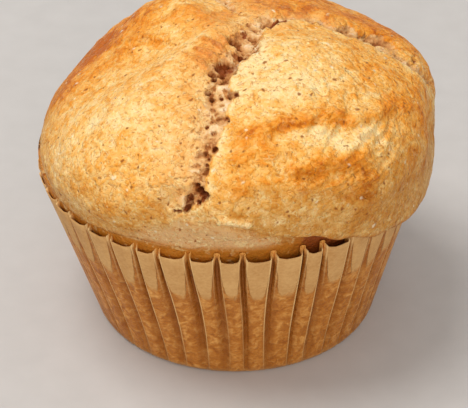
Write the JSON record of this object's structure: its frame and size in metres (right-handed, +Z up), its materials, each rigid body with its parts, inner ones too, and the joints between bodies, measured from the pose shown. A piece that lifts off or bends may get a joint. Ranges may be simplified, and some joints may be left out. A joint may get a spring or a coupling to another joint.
{
  "type": "muffin",
  "caption": "Domed muffin with a torn, lobed golden crust, standing in the pleated brown paper case it was baked in.",
  "frame": {"origin": "on the table, in the middle of the flat underside of the paper case", "axes": "+Z up through the crown, -Y towards the front with the main tear, +X to the right seen from the front"},
  "size_m": [0.0702, 0.0698, 0.0557],
  "materials": {
    "crust": "baked crust, matte with a soft sheen",
    "brown_paper": "greaseproof baking paper, darker and slightly glossy where the fat has soaked in"
  },
  "bodies": {
    "root": {"muffin": "crust", "paper_case": "brown_paper"}
  },
  "joints": []
}
